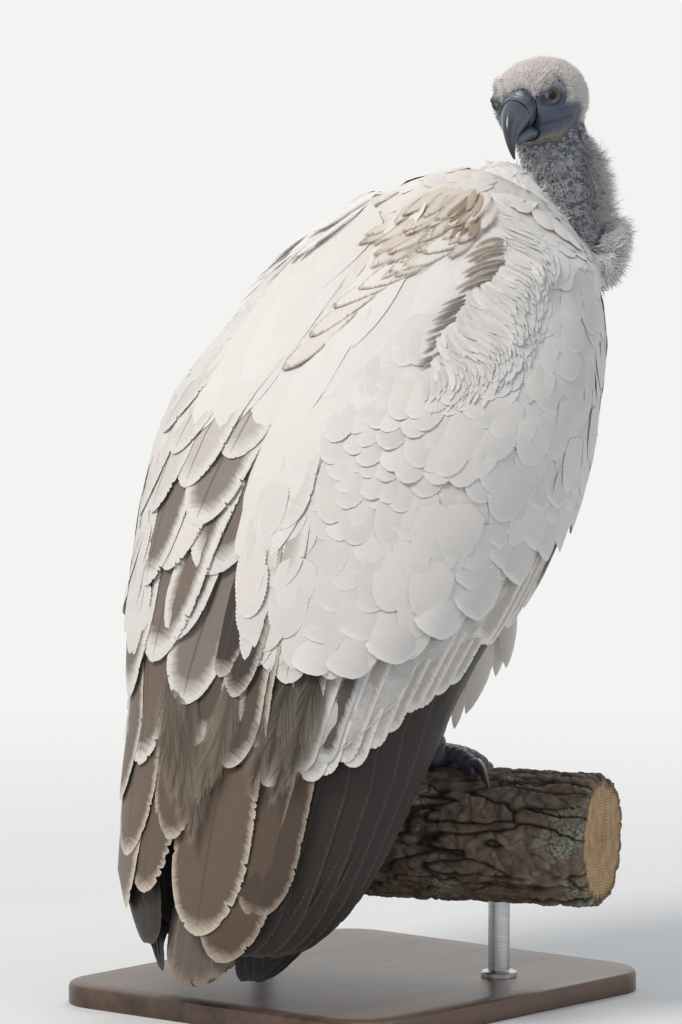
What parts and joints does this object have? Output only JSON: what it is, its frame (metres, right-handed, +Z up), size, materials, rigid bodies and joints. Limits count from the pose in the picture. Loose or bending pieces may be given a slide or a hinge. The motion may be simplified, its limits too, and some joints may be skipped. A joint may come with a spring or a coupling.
{
  "type": "cape vulture",
  "caption": "Life-size standing Cape vulture, back half turned and head looking over the right shoulder, on a cut log held by a flat display base.",
  "frame": {"origin": "centre of the display base's underside, on the floor", "axes": "+Z up, -Y the way the bird's breast faces, +X the bird's left; the head looks back over the right shoulder, and the tail hangs towards +Y"},
  "size_m": [0.403, 0.5321, 0.7713],
  "materials": {
    "face_skin": "soft blue-grey skin under short cream down",
    "cere": "smooth slate skin at the bill's base",
    "bill_horn": "dark slate horn with a soft shine",
    "eye": "wet eye with a straw-orange iris and a black pupil",
    "neck_down": "blue-grey skin speckled with short white down",
    "ruff_down": "loose white down",
    "body_feathers": "cream-white body feathers, matte",
    "wing_coverts": "cream-white wing coverts, some with brown centres, matte",
    "flight_feathers": "blackish-brown flight feathers with thin pale edges",
    "tertials": "brown feathers with broad cream edges",
    "tail_feathers": "grey-brown tail feathers with worn tips",
    "leg_scales": "slate scales, slightly glossy",
    "claw": "black horn with a soft shine",
    "bark": "furrowed brown bark with pale cut ends",
    "stand_wood": "dark stained wood, satin",
    "stand_steel": "brushed steel rod"
  },
  "bodies": {
    "root": {"head": "face_skin", "cere": "cere", "bill_upper": "bill_horn", "bill_lower": "bill_horn", "eye_left": "eye", "eye_right": "eye", "neck_upper": "neck_down", "neck_lower": "neck_down", "ruff": "ruff_down", "trunk": "body_feathers", "wing_left_coverts": "wing_coverts", "wing_right_coverts": "wing_coverts", "wing_left_secondaries": "flight_feathers", "wing_right_secondaries": "flight_feathers", "wing_left_primaries": "flight_feathers", "wing_right_primaries": "flight_feathers", "wing_left_tertials": "tertials", "wing_right_tertials": "tertials", "tail": "tail_feathers", "thigh_left": "body_feathers", "thigh_right": "body_feathers", "tarsus_left": "leg_scales", "tarsus_right": "leg_scales", "foot_left": "leg_scales", "foot_right": "leg_scales", "claw_left_1": "claw", "claw_left_2": "claw", "claw_left_3": "claw", "claw_left_4": "claw", "claw_right_1": "claw", "claw_right_2": "claw", "claw_right_3": "claw", "claw_right_4": "claw", "perch_log": "bark", "stand_base": "stand_wood", "stand_rod_left": "stand_steel", "stand_rod_right": "stand_steel"}
  },
  "joints": []
}
